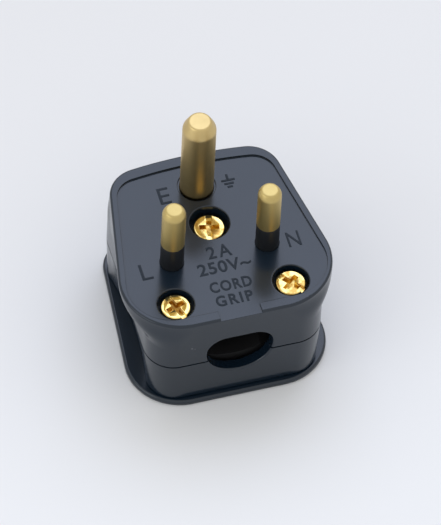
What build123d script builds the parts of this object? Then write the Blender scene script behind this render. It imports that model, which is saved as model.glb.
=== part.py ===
from build123d import *
import os
from dataclasses import dataclass
from math import radians, sin, tan

# A rewirable three-pin plug that lies on its back, with its pins up.
# Units are millimetres. The origin is under the middle of the plug, on the surface that it lies on.
# X runs from the line pin to the neutral pin, Y from the cord entry to the earth pin, Z along the pins.

# Pins
pin_line_y = -2.57
pin_spacing = 14.7
earth_offset = 12.6
thin_pin_radius = 1.78
earth_pin_radius = 2.54
thin_pin_reach = 13.1
earth_pin_reach = 16.1
thin_end_radius = 1.3
thin_end_taper = 0.9
earth_end_radius = 1.7
earth_end_taper = 1.75
end_edge_round = 0.3
sleeve_reach = 4.9
sleeve_wall = 0.48
sleeve_foot_radius = 2.2
sleeve_foot_depth = 0.4
sleeve_groove_radius = 1.6
earth_shoulder_radius = 2.8
earth_shoulder_depth = 0.6
earth_undercut_radius = 2.35

# Heights
flange_thick = 1.1
floor_thick = 2.2
parting_z = 9.1
flare_z = 13.6
flare_steps = 4
face_z = 18.7
rim_rise = 0.3
rim_band = 0.7
plate_thick = 2.7

# Moulding
wall = 1.7
rim_round = 0.4
rim_notch_width = 6.4
flange_round = 0.4
parting_gap = 0.3
parting_depth = 0.7
groove_height = 0.25
groove_depth = 0.35
earth_ring_radius = 2.9
earth_ring_depth = 0.3
weld = 0.3

# Cord entry
entry_width = 10.1
entry_low_z = 5.65
entry_high_z = 13.85
entry_top_round = 3.0
entry_bottom_round = 5.0
entry_edge_round = 0.3

# Grip screws, which show in the pin face beside the cord entry
grip_screw_x = 8.86
grip_screw_y = pin_line_y - 7.58
grip_hole_radius = 2.78
grip_head_radius = 2.3
grip_head_sunk = 0.6
grip_head_height = 1.9
grip_shank_radius = 1.5
grip_screw_end_z = 3.7

# Cover screw, which shows in the middle of the pin face
cover_screw_y = pin_line_y + 5.54
cover_hole_radius = 3.02
cover_head_radius = 2.43
cover_head_sunk = 1.1
cover_head_height = 2.0
cover_shank_radius = 1.7
cover_screw_end_z = 4.4

# What all the face screws have
sink_edge_round = 0.15
shank_clearance = 0.2
head_round_share = 0.2
slot_width = 0.9
slot_depth = 0.8
cross_length = 3.3
cross_depth = 1.2
cover_screw_turn = 78
grip_screw_turns = (-70, -50)

# Terminals
thin_head_side = 6.0
earth_head_side = 6.8
head_corner = 0.8
head_low_z = 8.0
core_hole_radius = 1.2
core_hole_z = 11.6
terminal_shank_radius = 1.3
terminal_shank_length = 2.7
terminal_head_radius = 2.1
terminal_head_height = 1.4
terminal_slot_depth = 0.7
collar_wall = 1.1
collar_depth = 3.0
fit_gap = 0.05

# Bosses, posts and ribs inside
grip_boss_radius = 3.1
grip_boss_low_z = 10.0
cover_boss_radius = 3.4
rib_thick = 1.1
wing_low_z = 12.6
post_bore_radius = 2.35
insert_radius = 2.5
insert_length = 5.7
insert_groove = 0.3

# Cord grip
bar_length = 22.6
bar_width = 4.6
bar_low_z = 4.8
bar_high_z = 7.4
saddle_radius = 9.0
saddle_depth = 0.9
grip_insert_radius = 1.95
ridge_thick = 0.9
ridge_spacing = 2.6
ridge_low_z = 14.2

# Worked out from the above
rim_z = face_z + rim_rise
band_z = rim_z - rim_band
plate_z = face_z - plate_thick
pin_x = pin_spacing / 2
earth_y = pin_line_y + earth_offset


@dataclass
class Outline:
    """A four-sided plan with round corners, alike on both sides of x = 0.

    The sides can be hollowed by the scoop. The back peak bows the back: its ends point at a place on x = 0
    that is this far behind it.
    """

    front_half: float
    back_half: float
    front_y: float
    back_y: float
    front_round: float
    back_round: float
    scoop: float = 0.0
    back_peak: float = 0.0

    def inset(self, distance):
        """The same outline, this far inside."""
        return Outline(
            self.front_half - distance,
            self.back_half - distance,
            self.front_y + distance,
            self.back_y - distance,
            self.front_round - distance,
            self.back_round - distance,
            self.scoop,
            self.back_peak,
        )

    def towards(self, other, share):
        """The outline at this share of the way to another one."""
        def mix(own, their):
            return own + (their - own) * share

        return Outline(
            mix(self.front_half, other.front_half),
            mix(self.back_half, other.back_half),
            mix(self.front_y, other.front_y),
            mix(self.back_y, other.back_y),
            mix(self.front_round, other.front_round),
            mix(self.back_round, other.back_round),
            mix(self.scoop, other.scoop),
            mix(self.back_peak, other.back_peak),
        )


# The plan at five levels: the rim, the recess inside the rim, the straight part of the side walls, their
# foot and the flange. The half widths are those of the sides, run on to the front and to the back.
rim_plan = Outline(18.05, 12.4, pin_line_y - 12.3, pin_line_y + 17.38, 9.0, 5.0, 0.0, 1.48)
recess_plan = Outline(16.6, 11.7, pin_line_y - 10.6, pin_line_y + 15.6, 6.5, 3.6, 0.0, 1.48)
parting_plan = Outline(13.6, 13.6, pin_line_y - 12.3, pin_line_y + 18.0, 4.5, 6.0)
foot_plan = Outline(13.0, 13.35, pin_line_y - 12.3, pin_line_y + 17.9, 4.3, 5.8, 1.1)
flange_plan = Outline(16.15, 13.3, pin_line_y - 13.2, pin_line_y + 17.9, 8.2, 5.0)

# Name, x, y and head size of the three terminals
terminals = [
    ("line", -pin_x, pin_line_y, thin_head_side),
    ("neutral", pin_x, pin_line_y, thin_head_side),
    ("earth", 0, earth_y, earth_head_side),
]


def round_corner(before, tip, after, radius):
    """First, middle and last point of a tangent arc at the tip of a corner."""
    to_before = (before - tip).normalized()
    to_after = (after - tip).normalized()
    half_angle = radians(to_before.get_angle(to_after) / 2)
    first = tip + to_before * (radius / tan(half_angle))
    last = tip + to_after * (radius / tan(half_angle))
    centre = tip + (to_before + to_after).normalized() * (radius / sin(half_angle))
    middle = centre + (tip - centre).normalized() * radius
    return first, middle, last


def plan_face(plan, level):
    """The flat face that an outline encloses, at a height."""
    peak = Vector(0, plan.back_y + plan.back_peak)
    tips = [
        Vector(plan.front_half, plan.front_y),
        Vector(plan.back_half, plan.back_y),
        Vector(-plan.back_half, plan.back_y),
        Vector(-plan.front_half, plan.front_y),
    ]
    corners = [
        round_corner(tips[3], tips[0], tips[1], plan.front_round),
        round_corner(tips[0], tips[1], peak, plan.back_round),
        round_corner(peak, tips[2], tips[3], plan.back_round),
        round_corner(tips[2], tips[3], tips[0], plan.front_round),
    ]
    edges = []
    for index, (first, middle, last) in enumerate(corners):
        edges.append(Edge.make_three_point_arc(first, middle, last))
        next_first = corners[(index + 1) % len(corners)][0]
        is_side = index % 2 == 0
        is_back = index == 1
        if is_side and plan.scoop:
            inward = Vector(-1 if last.X > 0 else 1, 0)
            hollow = (last + next_first) * 0.5 + inward * plan.scoop
            edges.append(Edge.make_three_point_arc(last, hollow, next_first))
        elif is_back and plan.back_peak:
            edges.append(Edge.make_tangent_arc(last, peak - last, next_first))
        else:
            edges.append(Edge.make_line(last, next_first))
    return Pos(0, 0, level) * Face(Wire(edges))


def slab(plan, low, high):
    """A plan raised into a straight block."""
    return extrude(plan_face(plan, low), high - low)


def taper(low_plan, low, high_plan, high):
    """A block that changes from one plan to another on the way up."""
    return loft([plan_face(low_plan, low), plan_face(high_plan, high)], ruled=True)


def outer_groove(plan, depth, low, high):
    """A band that cuts this deep into the outside of a wall, and reaches well clear of it."""
    return slab(plan.inset(-2 * wall), low, high) - slab(plan.inset(depth), low, high)


def post(x, y, low, high, radius):
    """An upright cylinder."""
    return Pos(x, y, low) * Cylinder(radius, high - low, align=(Align.CENTER, Align.CENTER, Align.MIN))


def square_post(x, y, low, high, side, corner):
    """An upright square bar with round corners."""
    return Pos(x, y, low) * extrude(RectangleRounded(side, side, corner), high - low)


def block(x, y, low, length_x, length_y, high):
    """An upright block, centred on x and y."""
    align = (Align.CENTER, Align.CENTER, Align.MIN)
    return Pos(x, y, low) * Box(length_x, length_y, high - low, align=align)


def cord_entry():
    """The space of the cord entry, through the front wall."""
    middle_z = (entry_low_z + entry_high_z) / 2
    profile = Pos(0, middle_z) * Rectangle(entry_width, entry_high_z - entry_low_z)
    profile = fillet(profile.vertices().group_by(Axis.Y)[-1], entry_top_round)
    profile = fillet(profile.vertices().group_by(Axis.Y)[0], entry_bottom_round)
    start_y = parting_plan.front_y + wall + weld
    plane = Plane(origin=(0, start_y, 0), x_dir=(1, 0, 0), z_dir=(0, -1, 0))
    return extrude(plane * profile, 2 * wall)


def round_entry_edge(moulding):
    """Round the edge where the cord entry opens in the front wall."""
    middle_z = (entry_low_z + entry_high_z) / 2
    edges = []
    for edge in moulding.edges():
        place = edge.center()
        on_front = abs(place.Y - parting_plan.front_y) < 0.02
        near_entry = abs(place.X) < entry_width / 2 + 0.1
        beside_groove = abs(place.Z - parting_z) < parting_gap
        in_height = abs(place.Z - middle_z) < (entry_high_z - entry_low_z) / 2 + 0.1
        if on_front and near_entry and in_height and not beside_groove:
            edges.append(edge)
    return fillet(edges, entry_edge_round)


def round_sink_edges(base):
    """Round the edges where the screw sinks open in the pin face."""
    circles = base.edges().filter_by(GeomType.CIRCLE)
    at_face = circles.filter_by_position(Axis.Z, face_z - 0.01, face_z + 0.01)
    radii = (grip_hole_radius, cover_hole_radius)
    return fillet([edge for edge in at_face if round(edge.radius, 3) in radii], sink_edge_round)


def flare():
    """The part of the base that widens towards the rim, with a slow start and a slow end."""
    sections = []
    for step in range(flare_steps + 1):
        share = step / flare_steps
        level = flare_z + share * (band_z - flare_z)
        sections.append(plan_face(parting_plan.towards(rim_plan, share**2 * (3 - 2 * share)), level))
    return loft(sections)


def base_shell():
    """The wall and the face plate of the base, with the raised rim round the pin face."""
    shell = slab(parting_plan, parting_z, flare_z) + flare() + slab(rim_plan, band_z, rim_z)
    shell = fillet(shell.faces().sort_by(Axis.Z)[-1].edges(), rim_round)
    shell -= slab(recess_plan, face_z, rim_z)
    shell -= slab(parting_plan.inset(wall), parting_z, plate_z)
    notch_length = recess_plan.front_y - rim_plan.front_y
    notch_y = rim_plan.front_y + notch_length / 2
    shell += block(0, notch_y, face_z - rim_round, rim_notch_width, notch_length, face_z)
    shell -= block(0, notch_y, face_z, rim_notch_width, 2 * notch_length, rim_z)
    return shell


def grip_bosses():
    """The two bosses of the grip screws, with the cord channel between them."""
    wall_y = parting_plan.front_y + wall
    rib_length = grip_screw_y - wall_y + 2 * weld
    bosses = block(0, grip_screw_y, ridge_low_z, entry_width + rib_thick, ridge_thick, plate_z)
    bosses += Pos(0, ridge_spacing, 0) * bosses
    for side in (-1, 1):
        rib_x = side * (entry_width + rib_thick) / 2
        bosses += post(side * grip_screw_x, grip_screw_y, grip_boss_low_z, plate_z, grip_boss_radius)
        rib_y = wall_y - weld + rib_length / 2
        bosses += block(rib_x, rib_y, grip_boss_low_z, rib_thick, rib_length, plate_z)
    return bosses


def cover_boss():
    """The boss of the cover screw, with a rib on each side that parts the earth core from the others."""
    reach = 2 * (parting_plan.front_half - wall + weld)
    return post(0, cover_screw_y, parting_z, plate_z, cover_boss_radius) + block(
        0, cover_screw_y, wing_low_z, reach, rib_thick, plate_z
    )


def make_base():
    """The moulding that carries the pins."""
    base = base_shell() + grip_bosses() + cover_boss()
    inside = slab(parting_plan.inset(wall / 2), parting_z, plate_z)
    for name, x, y, side in terminals:
        outer = side + 2 * collar_wall
        collar = square_post(x, y, plate_z - collar_depth, plate_z, outer, head_corner + collar_wall)
        base += collar & inside
    for name, x, y, side in terminals:
        base -= square_post(x, y, parting_z, plate_z, side + 2 * fit_gap, head_corner + fit_gap)
    for x in (-pin_x, pin_x):
        base -= post(x, pin_line_y, plate_z, face_z - sleeve_foot_depth, sleeve_foot_radius + fit_gap)
        base -= post(x, pin_line_y, plate_z, rim_z, thin_pin_radius + fit_gap)
        base -= screw_hole(
            x / pin_x * grip_screw_x, grip_screw_y, grip_hole_radius,
            face_z - grip_head_sunk - grip_head_height, grip_shank_radius,
        )
    base -= post(0, earth_y, plate_z, face_z - earth_shoulder_depth, earth_shoulder_radius + fit_gap)
    base -= post(0, earth_y, plate_z, rim_z, earth_pin_radius + fit_gap)
    base -= post(0, earth_y, face_z - earth_ring_depth, rim_z, earth_ring_radius)
    base -= screw_hole(
        0, cover_screw_y, cover_hole_radius,
        face_z - cover_head_sunk - cover_head_height, cover_shank_radius,
    )
    base -= cord_entry()
    base -= outer_groove(parting_plan, parting_depth, parting_z, parting_z + parting_gap / 2)
    return round_entry_edge(round_sink_edges(base))


def screw_hole(x, y, head_hole_radius, seat_z, shank_radius):
    """The stepped hole of a screw that is sunk in the pin face."""
    shank_hole = post(x, y, parting_z, seat_z, shank_radius + shank_clearance)
    return post(x, y, seat_z, rim_z, head_hole_radius) + shank_hole


def make_cover():
    """The rear moulding, with the finger flange round its back."""
    cover = slab(flange_plan, 0, flange_thick)
    cover = fillet(cover.faces().sort_by(Axis.Z)[-1].edges(), flange_round)
    cover = fillet(cover.faces().sort_by(Axis.Z)[0].edges(), flange_round)
    cover += taper(foot_plan, flange_thick, parting_plan, parting_z)
    share = (floor_thick - flange_thick) / (parting_z - flange_thick)
    inner_low = foot_plan.towards(parting_plan, share).inset(wall)
    cover -= taper(inner_low, floor_thick, parting_plan.inset(wall), parting_z)
    cover += post(0, cover_screw_y, floor_thick, parting_z, cover_boss_radius)
    cover -= post(0, cover_screw_y, parting_z - insert_length, parting_z, insert_radius)
    for name, x, y, side in terminals:
        cover += post(x, y, floor_thick, head_low_z, side / 2)
        cover -= post(x, y, floor_thick, head_low_z, post_bore_radius)
    cover -= cord_entry()
    cover -= outer_groove(parting_plan, parting_depth, parting_z - parting_gap / 2, parting_z)
    cover -= outer_groove(foot_plan, groove_depth, flange_thick, flange_thick + groove_height)
    return round_entry_edge(cover)


def make_pin(x, y, head_side, steps, end_radius, end_taper):
    """A turned pin with a square terminal head at its back end and a tapered tip.

    The steps are the radius and the top of each length between the head and the tip.
    """
    pin = square_post(x, y, head_low_z, plate_z, head_side, head_corner)
    low = plate_z
    for radius, high in steps:
        pin += post(x, y, low, high, radius)
        low = high
    pin += Pos(x, y, low + end_taper / 2) * Cone(radius, end_radius, end_taper)
    tip = pin.edges().filter_by(GeomType.CIRCLE).filter_by_position(Axis.Z, low - 0.01, low + end_taper + 0.01)
    pin = fillet(tip, end_edge_round)
    pin -= Pos(x, y, core_hole_z) * Rot(90, 0, 0) * Cylinder(core_hole_radius, 2 * head_side)
    pin -= post(x, y, head_low_z, core_hole_z, terminal_shank_radius)
    return pin


def make_thin_pin(x):
    """A line or neutral pin, which has a neck where its sleeve sits."""
    neck = (thin_pin_radius - sleeve_wall, face_z + sleeve_reach)
    bare = (thin_pin_radius, face_z + thin_pin_reach - thin_end_taper)
    return make_pin(x, pin_line_y, thin_head_side, [neck, bare], thin_end_radius, thin_end_taper)


def make_earth_pin():
    """The earth pin, which has a shoulder in the face plate and an undercut in the ring round its root."""
    shoulder = (earth_shoulder_radius, face_z - earth_shoulder_depth)
    undercut = (earth_undercut_radius, face_z)
    bare = (earth_pin_radius, face_z + earth_pin_reach - earth_end_taper)
    return make_pin(0, earth_y, earth_head_side, [shoulder, undercut, bare], earth_end_radius, earth_end_taper)


def make_sleeve(x):
    """The insulating sleeve, flush with the bare end of its pin.

    Its wider foot is held in the face plate, under a groove that ends at the face.
    """
    foot_z = face_z - sleeve_foot_depth
    high = face_z + sleeve_reach
    sleeve = post(x, pin_line_y, plate_z, foot_z, sleeve_foot_radius)
    sleeve += post(x, pin_line_y, foot_z, face_z, sleeve_groove_radius)
    sleeve += post(x, pin_line_y, face_z, high, thin_pin_radius)
    return sleeve - post(x, pin_line_y, plate_z, high, thin_pin_radius - sleeve_wall)


def make_face_screw(x, y, top_z, head_height, head_radius, shank_radius, end_z, turn):
    """A screw that is driven from the pin face. Its rounded head has a slot and a cross cut in it."""
    seat_z = top_z - head_height
    head = post(x, y, seat_z, top_z, head_radius)
    head = fillet(head.faces().sort_by(Axis.Z)[-1].edges(), head_height * head_round_share)
    slot = Box(3 * head_radius, slot_width, 2 * slot_depth)
    cross = Box(cross_length, slot_width, 2 * cross_depth) + Box(slot_width, cross_length, 2 * cross_depth)
    head -= Pos(x, y, top_z) * Rot(0, 0, turn) * (slot + cross)
    shank = post(x, y, end_z, seat_z, shank_radius)
    shank = chamfer(shank.faces().sort_by(Axis.Z)[0].edges(), shank_radius / 3)
    return head + shank


def make_terminal_screw(x, y):
    """The slotted screw in the back end of a pin, which clamps a core in the cross hole."""
    low = head_low_z - terminal_head_height
    head = post(x, y, low, head_low_z, terminal_head_radius)
    head = chamfer(head.faces().sort_by(Axis.Z)[0].edges(), terminal_head_radius / 8)
    head -= Pos(x, y, low) * Box(3 * terminal_head_radius, slot_width, 2 * terminal_slot_depth)
    return head + post(x, y, head_low_z, head_low_z + terminal_shank_length, terminal_shank_radius)


def make_insert(x, y, low, high, radius, bore_radius):
    """A threaded insert: a brass tube with a groove round its middle that the plastic holds."""
    middle = (low + high) / 2
    groove = post(x, y, middle - insert_groove, middle + insert_groove, radius)
    groove -= post(x, y, middle - insert_groove, middle + insert_groove, radius - insert_groove)
    return post(x, y, low, high, radius) - post(x, y, low, high, bore_radius) - groove


def make_grip_bar():
    """The bar that is drawn up against the cord, with a hollow for the cord on top."""
    bar = extrude(SlotOverall(bar_length, bar_width), bar_high_z - bar_low_z)
    bar = Pos(0, grip_screw_y, bar_low_z) * bar
    saddle_z = bar_high_z - saddle_depth + saddle_radius
    bar -= Pos(0, grip_screw_y, saddle_z) * Rot(90, 0, 0) * Cylinder(saddle_radius, 2 * bar_width)
    for x in (-grip_screw_x, grip_screw_x):
        bar -= post(x, grip_screw_y, bar_low_z, bar_high_z, grip_insert_radius)
    return bar


def make_pieces():
    """Every piece of the plug, by name."""
    pieces = {
        "base": make_base(),
        "cover": make_cover(),
        "cord_grip_bar": make_grip_bar(),
        "line_pin": make_thin_pin(-pin_x),
        "neutral_pin": make_thin_pin(pin_x),
        "earth_pin": make_earth_pin(),
        "line_sleeve": make_sleeve(-pin_x),
        "neutral_sleeve": make_sleeve(pin_x),
        "cover_screw": make_face_screw(
            0, cover_screw_y, face_z - cover_head_sunk, cover_head_height, cover_head_radius,
            cover_shank_radius, cover_screw_end_z, cover_screw_turn,
        ),
        "cover_insert": make_insert(
            0, cover_screw_y, parting_z - insert_length, parting_z, insert_radius, cover_shank_radius
        ),
    }
    for name, x, y, side in terminals:
        pieces[f"{name}_terminal_screw"] = make_terminal_screw(x, y)
    for name, x, turn in zip(("left", "right"), (-grip_screw_x, grip_screw_x), grip_screw_turns):
        pieces[f"grip_screw_{name}"] = make_face_screw(
            x, grip_screw_y, face_z - grip_head_sunk, grip_head_height, grip_head_radius,
            grip_shank_radius, grip_screw_end_z, turn,
        )
        pieces[f"grip_insert_{name}"] = make_insert(
            x, grip_screw_y, bar_low_z, bar_high_z, grip_insert_radius, grip_shank_radius
        )
    return pieces


os.makedirs("parts", exist_ok=True)
for name, piece in make_pieces().items():
    export_step(piece, f"parts/{name}.step")
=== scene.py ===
"""Dresses a small round-pin plug top: moulded plastic, brass pins, sunk screws and moulded marks."""

from math import cos, radians, sin

import bmesh
import bpy
from mathutils import Matrix, Vector


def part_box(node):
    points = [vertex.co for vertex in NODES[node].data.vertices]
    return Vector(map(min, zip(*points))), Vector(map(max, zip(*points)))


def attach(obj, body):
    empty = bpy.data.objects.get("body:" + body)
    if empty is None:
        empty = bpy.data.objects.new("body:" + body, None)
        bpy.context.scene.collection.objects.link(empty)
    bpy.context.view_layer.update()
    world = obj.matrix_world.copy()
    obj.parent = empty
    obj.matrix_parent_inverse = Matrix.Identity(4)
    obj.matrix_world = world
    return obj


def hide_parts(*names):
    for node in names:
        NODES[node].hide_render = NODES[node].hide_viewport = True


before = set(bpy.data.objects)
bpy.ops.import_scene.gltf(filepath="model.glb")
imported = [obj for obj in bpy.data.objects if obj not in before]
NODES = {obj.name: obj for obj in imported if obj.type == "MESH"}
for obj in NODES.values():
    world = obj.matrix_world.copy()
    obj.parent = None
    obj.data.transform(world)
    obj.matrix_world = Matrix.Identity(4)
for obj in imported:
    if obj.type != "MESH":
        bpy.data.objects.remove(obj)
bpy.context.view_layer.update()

bl_info = {
    "name": "Round-Pin Plug Dressing",
    "version": (1, 0, 0),
    "blender": (4, 5, 0),
    "location": "3D View > Sidebar > Plug",
    "description": "Finishes a packed plug top and sets its stage",
    "category": "Object",
}

MM = 0.001
MICRON = 0.000001
BODY = "root"

# Places that the frame gives, and how far the rim stands above the face, in millimetres
LINE_LOW, LINE_HIGH = (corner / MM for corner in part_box("line_pin"))
EARTH_LOW, EARTH_HIGH = (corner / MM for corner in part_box("earth_pin"))
SLEEVE_LOW, SLEEVE_HIGH = (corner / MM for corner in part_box("line_sleeve"))
RIM_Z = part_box("base")[1].z / MM
RIM_RISE = 0.3
FACE_Z = RIM_Z - RIM_RISE
PLATE_Z = SLEEVE_LOW.z
SLEEVE_TOP = SLEEVE_HIGH.z
FOOT_RADIUS = (SLEEVE_HIGH.x - SLEEVE_LOW.x) / 2
PIN_X = abs(LINE_LOW.x + LINE_HIGH.x) / 2
PIN_Y = (LINE_LOW.y + LINE_HIGH.y) / 2
EARTH_Y = (EARTH_LOW.y + EARTH_HIGH.y) / 2

# Sizes of the turned pieces, in millimetres. A tip is the radius of its disc and the length of its
# taper, and a shoulder or a core hole is its radius and its height
THIN_RADIUS = 1.78
NECK_RADIUS = 1.3
NECK_GAP = 0.02
THIN_TIP = (1.3, 0.9)
FOOT_DEPTH = 0.4
GROOVE_RADIUS = 1.6
SLEEVE_ROUND = 0.05
EARTH_RADIUS = 2.54
EARTH_TIP = (1.7, 1.75)
EARTH_SHOULDER = (2.8, FACE_Z - 0.6)
UNDERCUT_RADIUS = 2.35
CORE_HOLE = (1.2, 11.6)
TERMINAL_BORE = 1.3
HEAD_CORNER = 0.8

# How far a solid runs into the one it is joined to or cut from, in millimetres
OVERLAP = 1

# Shape of the face screws, in millimetres, with shares of the pitch, of the head's height and of the
# recess's width
THREAD_PITCH = 0.6
THREAD_DEPTH = 0.22
THREAD_CREST = (0.45, 0.55)
THREAD_START = 0.5
THREAD_CLEAR = 0.6
POINT_INSET = 0.25
POINT_HEIGHT = 0.3
HEAD_ROUND_SHARE = 0.16
RECESS_TAPER = 0.8
RECESS_SOFTENING = 0.05

# Face screws: node, head height, shank radius, turn of the slot
FACE_SCREWS = (
    ("cover_screw", 2.0, 1.7, 78),
    ("grip_screw_left", 1.9, 1.5, -70),
    ("grip_screw_right", 1.9, 1.5, -50),
)

# Raised words: the words, x and y of their middle from the pin line, height of a capital, space of the
# letters and share of the font's width
WORDS = (
    ("E", -5.3, 11.95, 3.0, 1.0, 1.0),
    ("N", 11.3, -0.4, 2.7, 1.0, 0.78),
    ("L", -11.7, -0.8, 2.9, 1.0, 1.0),
    ("2", -1.25, 0.15, 2.15, 1.0, 0.9),
    ("A", 0.8, 0.15, 2.2, 1.0, 0.85),
    ("250V~", 0.0, -2.6, 2.05, 1.06, 0.98),
    ("CORD", 0.0, -6.1, 1.8, 1.15, 0.8),
    ("GRIP", -0.2, -8.7, 1.8, 1.25, 0.88),
)
CAPITAL_SHARE = 0.69
FONT_STROKE_SHARE = 0.11

# Earth sign: its place from the pin line, then each bar's x, y, length and width
EARTH_SIGN_PLACE = (4.8, 12.1)
EARTH_SIGN_BARS = (
    (0, 0.85, 0.38, 1.1), (0, 0.3, 2.1, 0.38), (0, -0.32, 1.5, 0.38), (0, -0.92, 0.85, 0.38),
)
EARTH_SIGN_SOFTENING = 0.1

# Scales of the plastic's flow, skin and specks, and of the brass's drawn lines, in cells to a metre
FLOW_SCALE, SKIN_SCALE, DRAWN_SCALE = 260, 5200, 6000
SPECK_SCALE, SPARSE_SCALE = 420, 300
SPECK_EDGE, SPARSE_EDGE = (0.07, 0.03), (0.62, 0.7)
EDGE_SAMPLES = 8

# How far the roughness of the mouldings wanders below and above its setting
GLOSS_BELOW, GLOSS_ABOVE = 0.04, 0.06

# Faces that meet at less than this are shaded as one
SMOOTH_ANGLE = radians(32)

# Painted shade in a recess: how much light is left, and the height over which it fades, in metres
PAINTED_SHADE_SHARE, PAINTED_SHADE_FADE = 0.12, 0.3 * MM

# Light panels that face the plug: name, place and size in metres, energy and colour
PANELS = (
    ("Back panel", (0.13, 0.36, 0.52), (0.55, 0.45), 1.45, (0.63, 0.73, 1.0)),
    ("Left panel", (-0.5, -0.12, 0.25), (0.4, 0.3), 0.5, (0.85, 0.92, 1.0)),
)
SKY_COLOUR, SKY_STRENGTH = (0.98, 0.985, 0.98, 1), 0.92

# The floor, in metres: its side, and where its near and far colours are reached
FLOOR_SIDE = 3
FLOOR_NEAR_Y, FLOOR_FAR_Y = -0.04, 0.07

# The photograph's frame, in pixels, and its scale at the pin face
PHOTO_WIDTH, PHOTO_HEIGHT = 441, 525
PIXELS_PER_MM = 6.74
PIN_LINE_PIXEL = (219.5, 251.9)
SENSOR_WIDTH = 36


class MouldingSettings(bpy.types.PropertyGroup):
    """What the black moulded plastic looks like."""

    colour: bpy.props.FloatVectorProperty(
        name="Colour", description="Colour of the moulded body", subtype="COLOR", size=3,
        min=0, max=1, default=(0.005, 0.0115, 0.021),
    )
    sleeve_colour: bpy.props.FloatVectorProperty(
        name="Sleeve colour", description="Colour of the pin sleeves", subtype="COLOR", size=3,
        min=0, max=1, default=(0.005, 0.006, 0.008),
    )
    roughness: bpy.props.FloatProperty(
        name="Roughness", description="Roughness of the moulded body", min=0, max=1, default=0.19,
    )


class BrassSettings(bpy.types.PropertyGroup):
    """What the brass looks like."""

    pin_colour: bpy.props.FloatVectorProperty(
        name="Pin colour", description="Colour of the turned pins", subtype="COLOR", size=3,
        min=0, max=1, default=(0.58, 0.45, 0.18),
    )
    earth_colour: bpy.props.FloatVectorProperty(
        name="Earth pin colour", description="Colour of the earth pin", subtype="COLOR", size=3,
        min=0, max=1, default=(0.64, 0.485, 0.22),
    )
    screw_colour: bpy.props.FloatVectorProperty(
        name="Screw colour", description="Colour of the screws", subtype="COLOR", size=3,
        min=0, max=1, default=(0.93, 0.72, 0.27),
    )


class ScrewSettings(bpy.types.PropertyGroup):
    """The recesses of the face screws."""

    slot_width: bpy.props.FloatProperty(
        name="Slot width", description="Width of the slot and of the cross", unit="LENGTH",
        default=0.9 * MM,
    )
    slot_depth: bpy.props.FloatProperty(
        name="Slot depth", description="Depth of the slot", unit="LENGTH", default=0.35 * MM,
    )
    cross_length: bpy.props.FloatProperty(
        name="Cross length", description="Length of the arms of the cross, end to end", unit="LENGTH",
        default=3.3 * MM,
    )
    cross_depth: bpy.props.FloatProperty(
        name="Cross depth", description="Depth of the cross", unit="LENGTH", default=1.2 * MM,
    )


class MarkSettings(bpy.types.PropertyGroup):
    """The raised marks on the pin face."""

    rise: bpy.props.FloatProperty(
        name="Rise", description="How far a mark stands above the face", unit="LENGTH",
        default=0.07 * MM,
    )
    stroke: bpy.props.FloatProperty(
        name="Stroke", description="Width of a stroke of the letters", unit="LENGTH", default=0.34 * MM,
    )


class StageSettings(bpy.types.PropertyGroup):
    """The floor and the camera."""

    floor_colour: bpy.props.FloatVectorProperty(
        name="Floor", description="Colour of the floor", subtype="COLOR", size=3,
        min=0, max=1, default=(0.8, 0.8, 0.81),
    )
    # The far floor colour is painted shade: the floor is painted darker behind the plug
    shaded_far_floor_colour: bpy.props.FloatVectorProperty(
        name="Far floor", description="Colour of the floor behind the plug", subtype="COLOR", size=3,
        min=0, max=1, default=(0.71, 0.7, 0.695),
    )
    azimuth: bpy.props.FloatProperty(
        name="Azimuth", description="Where the camera stands round the plug", subtype="ANGLE",
        default=radians(-18.25),
    )
    elevation: bpy.props.FloatProperty(
        name="Elevation", description="How high the camera stands", subtype="ANGLE",
        default=radians(54.1),
    )
    roll: bpy.props.FloatProperty(
        name="Roll", description="How far the camera leans to its left", subtype="ANGLE",
        default=radians(3.1),
    )
    distance: bpy.props.FloatProperty(
        name="Distance", description="From the camera to the pin face", unit="LENGTH", default=2.0,
    )


def settings():
    """The add-on's own settings."""
    return bpy.context.scene.plug_settings


def start_clean():
    """Leave edit mode with nothing selected."""
    if bpy.context.object and bpy.context.object.mode != "OBJECT":
        bpy.ops.object.mode_set(mode="OBJECT")
    bpy.ops.object.select_all(action="DESELECT")


def choose(piece):
    """Make one piece the only selected and active one."""
    start_clean()
    piece.select_set(True)
    bpy.context.view_layer.objects.active = piece


def settle(piece, name, material, slot, *nodes):
    """Put a finished piece at the origin, name it, give it its material and let it ride."""
    choose(piece)
    bpy.ops.object.transform_apply(location=True, rotation=True, scale=True)
    bpy.ops.object.mode_set(mode="EDIT")
    bpy.ops.mesh.select_all(action="SELECT")
    bpy.ops.mesh.remove_doubles(threshold=MICRON)
    bpy.ops.mesh.normals_make_consistent(inside=False)
    bpy.ops.object.mode_set(mode="OBJECT")
    bpy.ops.object.shade_smooth_by_angle(angle=SMOOTH_ANGLE)
    piece.name = name
    piece.data.materials.clear()
    piece.data.materials.append(material)
    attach(piece, BODY)
    if nodes:
        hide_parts(*nodes)
    return piece


def turned(x, y, profile, around=72):
    """A solid of revolution, raised ring by ring through (radius, height) points in millimetres."""
    start_clean()
    radius, height = profile[0]
    bpy.ops.mesh.primitive_circle_add(
        vertices=around, radius=radius * MM, fill_type="NGON", location=(x * MM, y * MM, height * MM),
    )
    piece = bpy.context.object
    bpy.ops.object.transform_apply(location=True, rotation=False, scale=False)
    bpy.ops.object.mode_set(mode="EDIT")
    bpy.ops.mesh.select_all(action="SELECT")
    for next_radius, next_height in profile[1:]:
        bpy.ops.mesh.extrude_region_move(
            TRANSFORM_OT_translate={"value": (0, 0, (next_height - height) * MM)}
        )
        share = next_radius / radius
        bpy.ops.transform.resize(
            value=(share, share, 1), center_override=(x * MM, y * MM, next_height * MM)
        )
        radius, height = next_radius, next_height
    bpy.ops.mesh.select_all(action="SELECT")
    bpy.ops.mesh.normals_make_consistent(inside=False)
    bpy.ops.object.mode_set(mode="OBJECT")
    return piece


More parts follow.
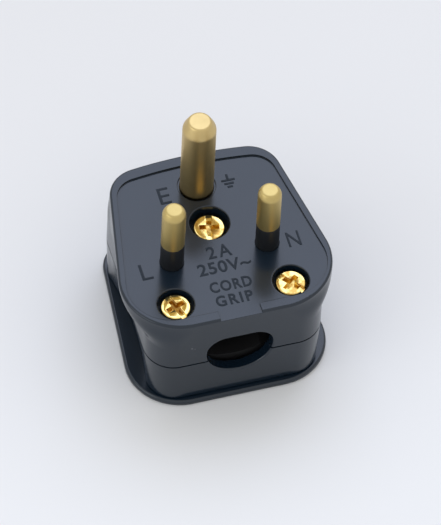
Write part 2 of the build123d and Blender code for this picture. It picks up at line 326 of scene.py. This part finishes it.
def tapered_tip(radius, top, tip_radius, taper, blend=0.34, steps=5):
    """Profile points of a pin's end: a taper to a flat disc, with both of its edges softened."""
    corners = [Vector((radius, top - taper)), Vector((tip_radius, top))]
    guides = [Vector((radius, top - taper - blend)), *corners, Vector((tip_radius - blend, top))]
    points = []
    for before, corner, after in zip(guides, corners, guides[2:]):
        first = corner + (before - corner).normalized() * blend
        last = corner + (after - corner).normalized() * blend
        for step in range(steps + 1):
            share = step / steps
            point = first.lerp(corner, share).lerp(corner.lerp(last, share), share)
            points.append(tuple(point))
    return points


def rounded_top(radius, top, edge_round, steps=8):
    """Profile points of an upper edge that is rounded."""
    points = []
    for step in range(steps + 1):
        angle = radians(90) * step / steps
        points.append((
            radius - edge_round * (1 - cos(angle)),
            top - edge_round * (1 - sin(angle)),
        ))
    return points


def upright_block(x, y, low, high, side, corner):
    """An upright square bar with rounded upright edges."""
    start_clean()
    bpy.ops.mesh.primitive_cube_add(
        size=1, location=(x * MM, y * MM, (low + high) / 2 * MM),
        scale=(side * MM, side * MM, (high - low) * MM),
    )
    piece = bpy.context.object
    bpy.ops.object.transform_apply(location=True, rotation=False, scale=True)
    bpy.ops.object.mode_set(mode="EDIT")
    bpy.ops.mesh.select_mode(type="EDGE")
    bpy.ops.mesh.select_all(action="DESELECT")
    mesh = bmesh.from_edit_mesh(piece.data)
    for edge in mesh.edges:
        first, second = edge.verts
        edge.select_set(abs(first.co.z - second.co.z) > 0.5 * (high - low) * MM)
    bmesh.update_edit_mesh(piece.data)
    bpy.ops.mesh.bevel(offset=corner * MM, segments=6, affect="EDGES")
    bpy.ops.mesh.select_mode(type="VERT")
    bpy.ops.object.mode_set(mode="OBJECT")
    return piece


def box_cutter(x, y, middle_z, sizes, turn, taper=1.0):
    """A box that is used up in a cut, narrower at its lower end by the taper."""
    start_clean()
    bpy.ops.mesh.primitive_cube_add(size=1, scale=[size * MM for size in sizes])
    cutter = bpy.context.object
    bpy.ops.object.transform_apply(location=False, rotation=False, scale=True)
    bpy.ops.object.mode_set(mode="EDIT")
    bpy.ops.mesh.select_all(action="DESELECT")
    mesh = bmesh.from_edit_mesh(cutter.data)
    for corner in mesh.verts:
        corner.select_set(corner.co.z < 0)
    mesh.select_flush(True)
    bmesh.update_edit_mesh(cutter.data)
    bpy.ops.transform.resize(value=(taper, taper, 1), center_override=(0, 0, 0))
    bpy.ops.object.mode_set(mode="OBJECT")
    cutter.location = (x * MM, y * MM, middle_z * MM)
    cutter.rotation_euler = (0, 0, radians(turn))
    return cutter


def join_solid(piece, other):
    """Merge another solid into a piece with a boolean modifier."""
    combine(piece, other, "UNION")


def carve(piece, cutter):
    """Cut another solid out of a piece."""
    combine(piece, cutter, "DIFFERENCE")


def combine(piece, other, operation):
    """Apply a boolean of another object to a piece, and remove that object."""
    choose(piece)
    step = piece.modifiers.new("Combine", "BOOLEAN")
    step.operation = operation
    step.solver = "EXACT"
    step.object = other
    bpy.ops.object.modifier_apply(modifier=step.name)
    bpy.data.objects.remove(other)


def soften(piece, width, angle=40):
    """Round the sharp edges of a piece a little."""
    choose(piece)
    step = piece.modifiers.new("Soften", "BEVEL")
    step.width = width * MM
    step.segments = 2
    step.limit_method = "ANGLE"
    step.angle_limit = radians(angle)
    step.use_clamp_overlap = True
    bpy.ops.object.modifier_apply(modifier=step.name)


def new_group(name, inputs, outputs):
    """An empty shader node group with named sockets."""
    group = bpy.data.node_groups.new(name, "ShaderNodeTree")
    for socket_name, kind, default in inputs:
        socket = group.interface.new_socket(socket_name, in_out="INPUT", socket_type=kind)
        socket.default_value = default
    for socket_name, kind in outputs:
        group.interface.new_socket(socket_name, in_out="OUTPUT", socket_type=kind)
    return group, group.nodes.new("NodeGroupInput"), group.nodes.new("NodeGroupOutput")


def feed(links, socket, amount):
    """Give an input socket a number, or the output of another socket."""
    if isinstance(amount, bpy.types.NodeSocket):
        links.new(amount, socket)
    else:
        socket.default_value = amount


def cloud(nodes, links, vector, scale, detail=2.0, roughness=0.5):
    """A noise texture on a vector, which gives its value."""
    noise = nodes.new("ShaderNodeTexNoise")
    feed(links, noise.inputs["Scale"], scale)
    noise.inputs["Detail"].default_value = detail
    noise.inputs["Roughness"].default_value = roughness
    links.new(vector, noise.inputs["Vector"])
    return noise.outputs["Fac"]


def calculate(nodes, links, operation, first, second):
    """A sum, product or the like of two numbers or sockets."""
    step = nodes.new("ShaderNodeMath")
    step.operation = operation
    feed(links, step.inputs[0], first)
    feed(links, step.inputs[1], second)
    return step.outputs[0]


def remap(nodes, links, value, start=0.0, end=1.0, low=0.0, high=1.0):
    """Map a value from start..end to low..high, where each limit is a number or a socket."""
    step = nodes.new("ShaderNodeMapRange")
    amounts = {"Value": value, "From Min": start, "From Max": end, "To Min": low, "To Max": high}
    for socket, amount in amounts.items():
        feed(links, step.inputs[socket], amount)
    return step.outputs["Result"]


def blend(nodes, links, share, first, second):
    """Mix two colours."""
    step = nodes.new("ShaderNodeMix")
    step.data_type = "RGBA"
    for socket, amount in (("Factor", share), ("A", first), ("B", second)):
        feed(links, step.inputs[socket], amount)
    return step.outputs["Result"]


def moulded_surface_group():
    """Fine moulding skin: uneven gloss, a faint swirl of the flow and small pale specks."""
    group, inlet, outlet = new_group(
        "Moulded surface",
        [
            ("Colour", "NodeSocketColor", (0.01, 0.01, 0.01, 1)),
            ("Speck colour", "NodeSocketColor", (0.3, 0.3, 0.3, 1)),
            ("Low roughness", "NodeSocketFloat", 0.25),
            ("High roughness", "NodeSocketFloat", 0.35),
            ("Grain", "NodeSocketFloat", 1.0),
        ],
        [
            ("Colour", "NodeSocketColor"),
            ("Roughness", "NodeSocketFloat"),
            ("Height", "NodeSocketFloat"),
        ],
    )
    nodes, links = group.nodes, group.links
    given, wanted = inlet.outputs, outlet.inputs
    place = nodes.new("ShaderNodeTexCoord").outputs["Object"]
    flow = cloud(nodes, links, place, FLOW_SCALE)
    gloss = remap(nodes, links, flow, low=given["Low roughness"], high=given["High roughness"])
    links.new(gloss, wanted["Roughness"])
    skin = cloud(nodes, links, place, SKIN_SCALE)
    links.new(calculate(nodes, links, "MULTIPLY", skin, given["Grain"]), wanted["Height"])
    cells = nodes.new("ShaderNodeTexVoronoi")
    cells.inputs["Scale"].default_value = SPECK_SCALE
    links.new(place, cells.inputs["Vector"])
    near = remap(nodes, links, cells.outputs["Distance"], *SPECK_EDGE)
    sparse = remap(nodes, links, cloud(nodes, links, place, SPARSE_SCALE, detail=1.0), *SPARSE_EDGE)
    speck = calculate(nodes, links, "MULTIPLY", near, sparse)
    links.new(blend(nodes, links, speck, given["Colour"], given["Speck colour"]), wanted["Colour"])
    return group


def brass_surface_group():
    """Turned brass: a tone that wanders, a little tarnish, fine drawn lines and shade painted below a
    level.
    """
    group, inlet, outlet = new_group(
        "Brass surface",
        [
            ("Bright", "NodeSocketColor", (0.8, 0.6, 0.3, 1)),
            ("Tarnish", "NodeSocketColor", (0.4, 0.28, 0.12, 1)),
            ("Tarnish amount", "NodeSocketFloat", 0.3),
            ("Low roughness", "NodeSocketFloat", 0.18),
            ("High roughness", "NodeSocketFloat", 0.32),
            ("Stretch", "NodeSocketVector", (1, 1, 0.08)),
            ("Painted shade level", "NodeSocketFloat", -1.0),
            ("Patch scale", "NodeSocketFloat", 520.0),
            ("Patch low", "NodeSocketFloat", 0.0),
            ("Patch high", "NodeSocketFloat", 1.0),
        ],
        [
            ("Colour", "NodeSocketColor"),
            ("Roughness", "NodeSocketFloat"),
            ("Height", "NodeSocketFloat"),
        ],
    )
    nodes, links = group.nodes, group.links
    given, wanted = inlet.outputs, outlet.inputs
    place = nodes.new("ShaderNodeTexCoord").outputs["Object"]
    blotch = cloud(nodes, links, place, given["Patch scale"], detail=4.0, roughness=0.6)
    patch = remap(nodes, links, blotch, given["Patch low"], given["Patch high"])
    amount = calculate(nodes, links, "MULTIPLY", patch, given["Tarnish amount"])
    tone = blend(nodes, links, amount, given["Bright"], given["Tarnish"])
    # Painted shade: below the given level the colour is darkened, fading in over a short height
    height = nodes.new("ShaderNodeSeparateXYZ")
    links.new(place, height.inputs[0])
    above = calculate(nodes, links, "SUBTRACT", height.outputs["Z"], given["Painted shade level"])
    lit_share = remap(nodes, links, above, end=PAINTED_SHADE_FADE, low=PAINTED_SHADE_SHARE)
    shaded_tone = nodes.new("ShaderNodeVectorMath")
    shaded_tone.operation = "SCALE"
    links.new(tone, shaded_tone.inputs[0])
    links.new(lit_share, shaded_tone.inputs["Scale"])
    links.new(shaded_tone.outputs[0], wanted["Colour"])
    gloss = remap(nodes, links, patch, low=given["Low roughness"], high=given["High roughness"])
    links.new(gloss, wanted["Roughness"])
    stretch = nodes.new("ShaderNodeVectorMath")
    stretch.operation = "MULTIPLY"
    links.new(place, stretch.inputs[0])
    links.new(given["Stretch"], stretch.inputs[1])
    links.new(cloud(nodes, links, stretch.outputs[0], DRAWN_SCALE), wanted["Height"])
    return group


def shader_material(name, group, values, bump, metallic=0.0, ior=1.5, edge_round=0.0):
    """A material whose colour, gloss and bump come from a surface group; its edges can look rounded."""
    material = bpy.data.materials.new(name)
    material.use_nodes = True
    nodes, links = material.node_tree.nodes, material.node_tree.links
    shader = nodes["Principled BSDF"]
    shader.inputs["Metallic"].default_value = metallic
    shader.inputs["IOR"].default_value = ior
    surface = nodes.new("ShaderNodeGroup")
    surface.node_tree = group
    for socket, value in values.items():
        surface.inputs[socket].default_value = value
    links.new(surface.outputs["Colour"], shader.inputs["Base Color"])
    links.new(surface.outputs["Roughness"], shader.inputs["Roughness"])
    raised = nodes.new("ShaderNodeBump")
    raised.inputs["Strength"].default_value = 1.0
    raised.inputs["Distance"].default_value = bump
    links.new(surface.outputs["Height"], raised.inputs["Height"])
    if edge_round:
        rounded = nodes.new("ShaderNodeBevel")
        rounded.samples = EDGE_SAMPLES
        rounded.inputs["Radius"].default_value = edge_round
        links.new(rounded.outputs["Normal"], raised.inputs["Normal"])
    links.new(raised.outputs["Normal"], shader.inputs["Normal"])
    return material


def with_alpha(colour):
    """A colour with full opacity."""
    return (*colour, 1.0)


def moulded_material(name, colour, speck, gloss, bump, grain=1.0, **others):
    """A moulded surface, made once; gloss is its lowest and highest roughness."""
    made = bpy.data.materials.get(name)
    if made:
        return made
    group = bpy.data.node_groups.get("Moulded surface") or moulded_surface_group()
    values = {
        "Colour": with_alpha(colour), "Speck colour": with_alpha(speck),
        "Low roughness": gloss[0], "High roughness": gloss[1], "Grain": grain,
    }
    return shader_material(name, group, values, bump, **others)


def brass_material(name, colour, tarnish, amount, gloss, bump, **others):
    """A brass surface, made once; gloss is its lowest and highest roughness."""
    made = bpy.data.materials.get(name)
    if made:
        return made
    group = bpy.data.node_groups.get("Brass surface") or brass_surface_group()
    values = {
        "Bright": with_alpha(colour), "Tarnish": with_alpha(tarnish), "Tarnish amount": amount,
        "Low roughness": gloss[0], "High roughness": gloss[1], **others,
    }
    return shader_material(name, group, values, bump, metallic=1.0)


def moulded_black():
    """Semi-gloss black of the two mouldings."""
    chosen = settings().moulding
    return moulded_material(
        "Moulded black", chosen.colour, speck=(0.11, 0.115, 0.13), bump=1.5 * MICRON,
        gloss=(chosen.roughness - GLOSS_BELOW, chosen.roughness + GLOSS_ABOVE),
        ior=1.51, edge_round=0.1 * MM,
    )


def matt_mark():
    """The same black with the matt skin that raised letters have."""
    return moulded_material(
        "Matt mark", settings().moulding.colour, speck=(0.05, 0.05, 0.06), gloss=(0.55, 0.65),
        bump=2 * MICRON, ior=1.4,
    )


def sleeve_black():
    """Duller black of the pin sleeves."""
    return moulded_material(
        "Sleeve black", settings().moulding.sleeve_colour, speck=(0.1, 0.1, 0.1), gloss=(0.34, 0.46),
        bump=2 * MICRON,
    )


def grip_fibre():
    """Plain dark fibre of the grip bar."""
    return moulded_material(
        "Grip fibre", (0.006, 0.006, 0.007), speck=(0.03, 0.03, 0.03), gloss=(0.5, 0.7),
        bump=3 * MICRON, grain=2.0,
    )


def pin_brass():
    """Satin brass of the thin pins."""
    return brass_material(
        "Pin brass", settings().brass.pin_colour, tarnish=(0.36, 0.25, 0.08), amount=0.3,
        gloss=(0.4, 0.48), bump=3 * MICRON, Stretch=(1, 1, 0.06),
    )


def earth_brass():
    """Satin brass of the earth pin, with shade painted below the face."""
    return brass_material(
        "Earth brass", settings().brass.earth_colour, tarnish=(0.36, 0.26, 0.11), amount=0.4,
        gloss=(0.38, 0.46), bump=2 * MICRON,
        **{"Stretch": (1, 1, 0.06), "Painted shade level": FACE_Z * MM},
    )


def screw_brass():
    """Bright brass of the screws, with patches of tarnish."""
    return brass_material(
        "Screw brass", settings().brass.screw_colour, tarnish=(0.46, 0.25, 0.05), amount=0.85,
        gloss=(0.1, 0.24), bump=2 * MICRON,
        **{"Stretch": (1, 1, 1), "Patch scale": 800.0, "Patch low": 0.42, "Patch high": 0.6},
    )


def dress(node, material):
    """Give a CAD node that stays in view a better material."""
    for slot in NODES[node].material_slots:
        slot.material = material


class PLUG_OT_mouldings(bpy.types.Operator):
    """Finish the two black mouldings"""

    bl_idname = "plug.mouldings"
    bl_label = "Finish Mouldings"

    def execute(self, context):
        for node in ("base", "cover"):
            dress(node, moulded_black())
        return {"FINISHED"}


class PLUG_OT_grip_bar(bpy.types.Operator):
    """Finish the bar that holds the cord"""

    bl_idname = "plug.grip_bar"
    bl_label = "Finish Grip Bar"

    def execute(self, context):
        dress("cord_grip_bar", grip_fibre())
        return {"FINISHED"}


class PLUG_OT_pins(bpy.types.Operator):
    """Turn the three pins, each with its square terminal head"""

    bl_idname = "plug.pins"
    bl_label = "Turn Pins"

    def execute(self, context):
        thin_profile = [(NECK_RADIUS, SLEEVE_TOP), (THIN_RADIUS, SLEEVE_TOP + NECK_GAP)]
        thin_profile += tapered_tip(THIN_RADIUS, LINE_HIGH.z, *THIN_TIP)
        head_side = LINE_HIGH.x - LINE_LOW.x
        for node, x in (("line_pin", -PIN_X), ("neutral_pin", PIN_X)):
            make_pin(node, x, PIN_Y, LINE_LOW.z, head_side, NECK_RADIUS, thin_profile, pin_brass())
        earth_profile = [EARTH_SHOULDER, (UNDERCUT_RADIUS, EARTH_SHOULDER[1]), (UNDERCUT_RADIUS, FACE_Z)]
        earth_profile += [(EARTH_RADIUS, FACE_Z)]
        earth_profile += tapered_tip(EARTH_RADIUS, EARTH_HIGH.z, *EARTH_TIP)
        make_pin(
            "earth_pin", 0, EARTH_Y, EARTH_LOW.z, EARTH_HIGH.x - EARTH_LOW.x, EARTH_SHOULDER[0],
            earth_profile, earth_brass(),
        )
        return {"FINISHED"}


def make_pin(node, x, y, low, head_side, root_radius, profile, material):
    """A turned pin on a square head, with a cross hole for the core and a bore for its screw."""
    pin = upright_block(x, y, low, PLATE_Z, head_side, HEAD_CORNER)
    join_solid(pin, turned(x, y, [(root_radius, PLATE_Z - OVERLAP), *profile]))
    hole_radius, hole_z = CORE_HOLE
    start_clean()
    bpy.ops.mesh.primitive_cylinder_add(
        vertices=48, radius=hole_radius * MM, depth=3 * head_side * MM,
        location=(x * MM, y * MM, hole_z * MM), rotation=(radians(90), 0, 0),
    )
    carve(pin, bpy.context.object)
    carve(pin, turned(x, y, [(TERMINAL_BORE, low - OVERLAP), (TERMINAL_BORE, hole_z)], around=48))
    settle(pin, node + "_turned", material, "pin_brass", node)


class PLUG_OT_sleeves(bpy.types.Operator):
    """Mould the insulating sleeves of the two thin pins"""

    bl_idname = "plug.sleeves"
    bl_label = "Mould Sleeves"

    def execute(self, context):
        material = sleeve_black()
        for node, x in (("line_sleeve", -PIN_X), ("neutral_sleeve", PIN_X)):
            profile = [(FOOT_RADIUS, PLATE_Z), (FOOT_RADIUS, FACE_Z - FOOT_DEPTH)]
            profile += [(GROOVE_RADIUS, FACE_Z - FOOT_DEPTH), (GROOVE_RADIUS, FACE_Z)]
            profile += [(THIN_RADIUS, FACE_Z)]
            profile += rounded_top(THIN_RADIUS, SLEEVE_TOP, SLEEVE_ROUND, steps=3)
            sleeve = turned(x, PIN_Y, profile)
            bore = [(NECK_RADIUS, PLATE_Z - OVERLAP), (NECK_RADIUS, SLEEVE_TOP + OVERLAP)]
            carve(sleeve, turned(x, PIN_Y, bore))
            settle(sleeve, node + "_moulded", material, "sleeve_black", node)
        return {"FINISHED"}


class PLUG_OT_face_screws(bpy.types.Operator):
    """Turn the three sunk screws, with a slot, a cross recess and a thread"""

    bl_idname = "plug.face_screws"
    bl_label = "Turn Face Screws"

    def execute(self, context):
        for node, head_height, shank_radius, turn in FACE_SCREWS:
            make_screw(node, head_height, shank_radius, turn)
        return {"FINISHED"}


def make_screw(node, head_height, shank_radius, turn):
    """One sunk screw in the space of its CAD node."""
    low, high = (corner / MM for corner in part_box(node))
    x, y = (low.x + high.x) / 2, (low.y + high.y) / 2
    head_radius = (high.x - low.x) / 2
    seat = high.z - head_height
    root_radius = shank_radius - THREAD_DEPTH
    profile = [(root_radius - POINT_INSET, low.z), (root_radius, low.z + POINT_HEIGHT)]
    level = low.z + THREAD_START
    while level + THREAD_PITCH < seat - THREAD_CLEAR:
        profile.append((root_radius, level))
        profile += [(shank_radius, level + share * THREAD_PITCH) for share in THREAD_CREST]
        level += THREAD_PITCH
    profile += [(root_radius, level), (root_radius, seat), (head_radius, seat)]
    profile += rounded_top(head_radius, high.z, HEAD_ROUND_SHARE * head_height, steps=5)
    screw = turned(x, y, profile, around=64)
    chosen = settings().screws
    width = chosen.slot_width / MM
    slot = (3 * head_radius, width, 2 * chosen.slot_depth / MM)
    carve(screw, box_cutter(x, y, high.z, slot, turn))
    arm = (chosen.cross_length / MM, width, 2 * chosen.cross_depth / MM)
    for quarter in (0, 90):
        carve(screw, box_cutter(x, y, high.z, arm, turn + quarter, taper=RECESS_TAPER))
    soften(screw, RECESS_SOFTENING)
    settle(screw, node + "_turned", screw_brass(), "screw_brass", node)


class PLUG_OT_inner_brass(bpy.types.Operator):
    """Finish the inserts and the terminal screws inside the body"""

    bl_idname = "plug.inner_brass"
    bl_label = "Finish Inner Brass"

    def execute(self, context):
        for node in ("cover_insert", "grip_insert_left", "grip_insert_right"):
            dress(node, pin_brass())
        for node in ("line_terminal_screw", "neutral_terminal_screw", "earth_terminal_screw"):
            dress(node, screw_brass())
        return {"FINISHED"}


class PLUG_OT_face_marks(bpy.types.Operator):
    """Raise the letters, the rating and the earth sign on the pin face"""

    bl_idname = "plug.face_marks"
    bl_label = "Raise Face Marks"

    def execute(self, context):
        chosen = settings().marks
        pieces = [raised_words(chosen, *line) for line in WORDS] + earth_sign(chosen)
        choose(pieces[0])
        for piece in pieces[1:]:
            piece.select_set(True)
        bpy.ops.object.join()
        settle(bpy.context.object, "face_marks", matt_mark(), "moulded_black")
        return {"FINISHED"}


def raised_words(chosen, words, x, y, height, space, width):
    """Raised letters on the face, centred on a place beside the pin line."""
    start_clean()
    bpy.ops.object.text_add()
    piece = bpy.context.object
    letters = piece.data
    letters.body = words
    letters.size = height / CAPITAL_SHARE * MM
    letters.align_x = "CENTER"
    letters.space_character = space
    letters.resolution_u = 4
    letters.offset = (chosen.stroke - FONT_STROKE_SHARE * height * MM) / 2 - chosen.rise
    letters.bevel_depth = chosen.rise
    letters.bevel_resolution = 3
    bpy.ops.object.convert(target="MESH")
    piece = bpy.context.object
    piece.location = (x * MM, (PIN_Y + y - height / 2) * MM, FACE_Z * MM)
    piece.scale.x = width
    bpy.ops.object.transform_apply(location=True, rotation=False, scale=True)
    return piece


def earth_sign(chosen):
    """A stem and three bars, each shorter than the one before."""
    x, y = EARTH_SIGN_PLACE[0], PIN_Y + EARTH_SIGN_PLACE[1]
    pieces = []
    for offset_x, offset_y, length, width in EARTH_SIGN_BARS:
        start_clean()
        bpy.ops.mesh.primitive_cube_add(
            size=1, location=((x + offset_x) * MM, (y + offset_y) * MM, FACE_Z * MM),
            scale=(length * MM, width * MM, 2 * chosen.rise),
        )
        bpy.ops.object.transform_apply(location=True, rotation=False, scale=True)
        soften(bpy.context.object, EARTH_SIGN_SOFTENING)
        pieces.append(bpy.context.object)
    return pieces


class PLUG_OT_stage(bpy.types.Operator):
    """Set the floor, the lights and the camera"""

    bl_idname = "plug.stage"
    bl_label = "Set Stage"

    def execute(self, context):
        chosen = settings().stage
        add_floor(chosen)
        add_sky()
        for panel in PANELS:
            add_panel(*panel)
        add_camera(chosen)
        context.scene.view_settings.view_transform = "Standard"
        return {"FINISHED"}


def add_floor(chosen):
    """A pale floor that reaches well past the view, painted darker behind the plug as painted shade."""
    start_clean()
    bpy.ops.mesh.primitive_plane_add(size=FLOOR_SIDE)
    floor = bpy.context.object
    floor.name = "floor"
    material = bpy.data.materials.new("Pale floor")
    material.use_nodes = True
    nodes, links = material.node_tree.nodes, material.node_tree.links
    shader = nodes["Principled BSDF"]
    place = nodes.new("ShaderNodeSeparateXYZ")
    links.new(nodes.new("ShaderNodeTexCoord").outputs["Object"], place.inputs[0])
    depth = remap(nodes, links, place.outputs["Y"], FLOOR_NEAR_Y, FLOOR_FAR_Y)
    colours = with_alpha(chosen.floor_colour), with_alpha(chosen.shaded_far_floor_colour)
    links.new(blend(nodes, links, depth, *colours), shader.inputs["Base Color"])
    shader.inputs["Roughness"].default_value = 0.9
    shader.inputs["Specular IOR Level"].default_value = 0.1
    floor.data.materials.append(material)


def add_sky():
    """A plain pale surround."""
    world = bpy.data.worlds.new("Studio")
    bpy.context.scene.world = world
    world.use_nodes = True
    sky = world.node_tree.nodes["Background"]
    sky.inputs["Color"].default_value = SKY_COLOUR
    sky.inputs["Strength"].default_value = SKY_STRENGTH


def add_panel(name, place, size, energy, colour):
    """A rectangular light that faces the plug."""
    light = bpy.data.lights.new(name, "AREA")
    light.shape = "RECTANGLE"
    light.size, light.size_y = size
    light.energy = energy
    light.color = colour
    panel = bpy.data.objects.new(name, light)
    panel.location = place
    panel.rotation_euler = Vector(place).to_track_quat("Z", "Y").to_euler()
    bpy.context.scene.collection.objects.link(panel)


def add_camera(chosen):
    """A long-lens camera, with the pin line where it is in the photograph."""
    backward = Vector((
        sin(chosen.azimuth) * cos(chosen.elevation),
        -cos(chosen.azimuth) * cos(chosen.elevation),
        sin(chosen.elevation),
    ))
    level_right = Vector((cos(chosen.azimuth), sin(chosen.azimuth), 0))
    level_up = backward.cross(level_right)
    right = level_right * cos(chosen.roll) + level_up * sin(chosen.roll)
    up = backward.cross(right)
    pin_line = Vector((0, PIN_Y, FACE_Z)) * MM
    across = (PHOTO_WIDTH / 2 - PIN_LINE_PIXEL[0]) / PIXELS_PER_MM * MM
    down = (PHOTO_HEIGHT / 2 - PIN_LINE_PIXEL[1]) / PIXELS_PER_MM * MM
    aim = pin_line + right * across - up * down
    lens = bpy.data.cameras.new("Camera")
    lens.sensor_width = SENSOR_WIDTH
    lens.lens = lens.sensor_width * PIXELS_PER_MM / MM * chosen.distance / PHOTO_HEIGHT
    lens.clip_start = 0.01
    camera = bpy.data.objects.new("Camera", lens)
    turn = Matrix((right, up, backward)).transposed().to_4x4()
    camera.matrix_world = Matrix.Translation(aim + backward * chosen.distance) @ turn
    bpy.context.scene.collection.objects.link(camera)
    bpy.context.scene.camera = camera


class PlugSettings(bpy.types.PropertyGroup):
    """All the settings of the plug."""

    moulding: bpy.props.PointerProperty(type=MouldingSettings, name="Moulding", description="Plastic")
    brass: bpy.props.PointerProperty(type=BrassSettings, name="Brass", description="Brass")
    screws: bpy.props.PointerProperty(type=ScrewSettings, name="Screws", description="Face screws")
    marks: bpy.props.PointerProperty(type=MarkSettings, name="Marks", description="Raised marks")
    stage: bpy.props.PointerProperty(type=StageSettings, name="Stage", description="Floor and camera")


STEPS = (
    PLUG_OT_mouldings, PLUG_OT_grip_bar, PLUG_OT_pins, PLUG_OT_sleeves, PLUG_OT_face_screws,
    PLUG_OT_inner_brass, PLUG_OT_face_marks, PLUG_OT_stage,
)


class PLUG_PT_panel(bpy.types.Panel):
    """Lists the steps that dress the plug"""

    bl_idname = "PLUG_PT_panel"
    bl_label = "Plug Top"
    bl_space_type = "VIEW_3D"
    bl_region_type = "UI"
    bl_category = "Plug"

    def draw(self, context):
        for step in STEPS:
            self.layout.operator(step.bl_idname)


CLASSES = (
    MouldingSettings, BrassSettings, ScrewSettings, MarkSettings, StageSettings, PlugSettings,
    *STEPS, PLUG_PT_panel,
)


def register():
    """Register the classes and the settings."""
    for item in CLASSES:
        bpy.utils.register_class(item)
    bpy.types.Scene.plug_settings = bpy.props.PointerProperty(type=PlugSettings)


def unregister():
    """Take the classes and the settings away again."""
    del bpy.types.Scene.plug_settings
    for item in reversed(CLASSES):
        bpy.utils.unregister_class(item)


def main():
    """Dress the plug and set the stage."""
    register()
    bpy.ops.plug.mouldings()
    bpy.ops.plug.grip_bar()
    bpy.ops.plug.pins()
    bpy.ops.plug.sleeves()
    bpy.ops.plug.face_screws()
    bpy.ops.plug.inner_brass()
    bpy.ops.plug.face_marks()
    bpy.ops.plug.stage()


if __name__ == "__main__":
    main()
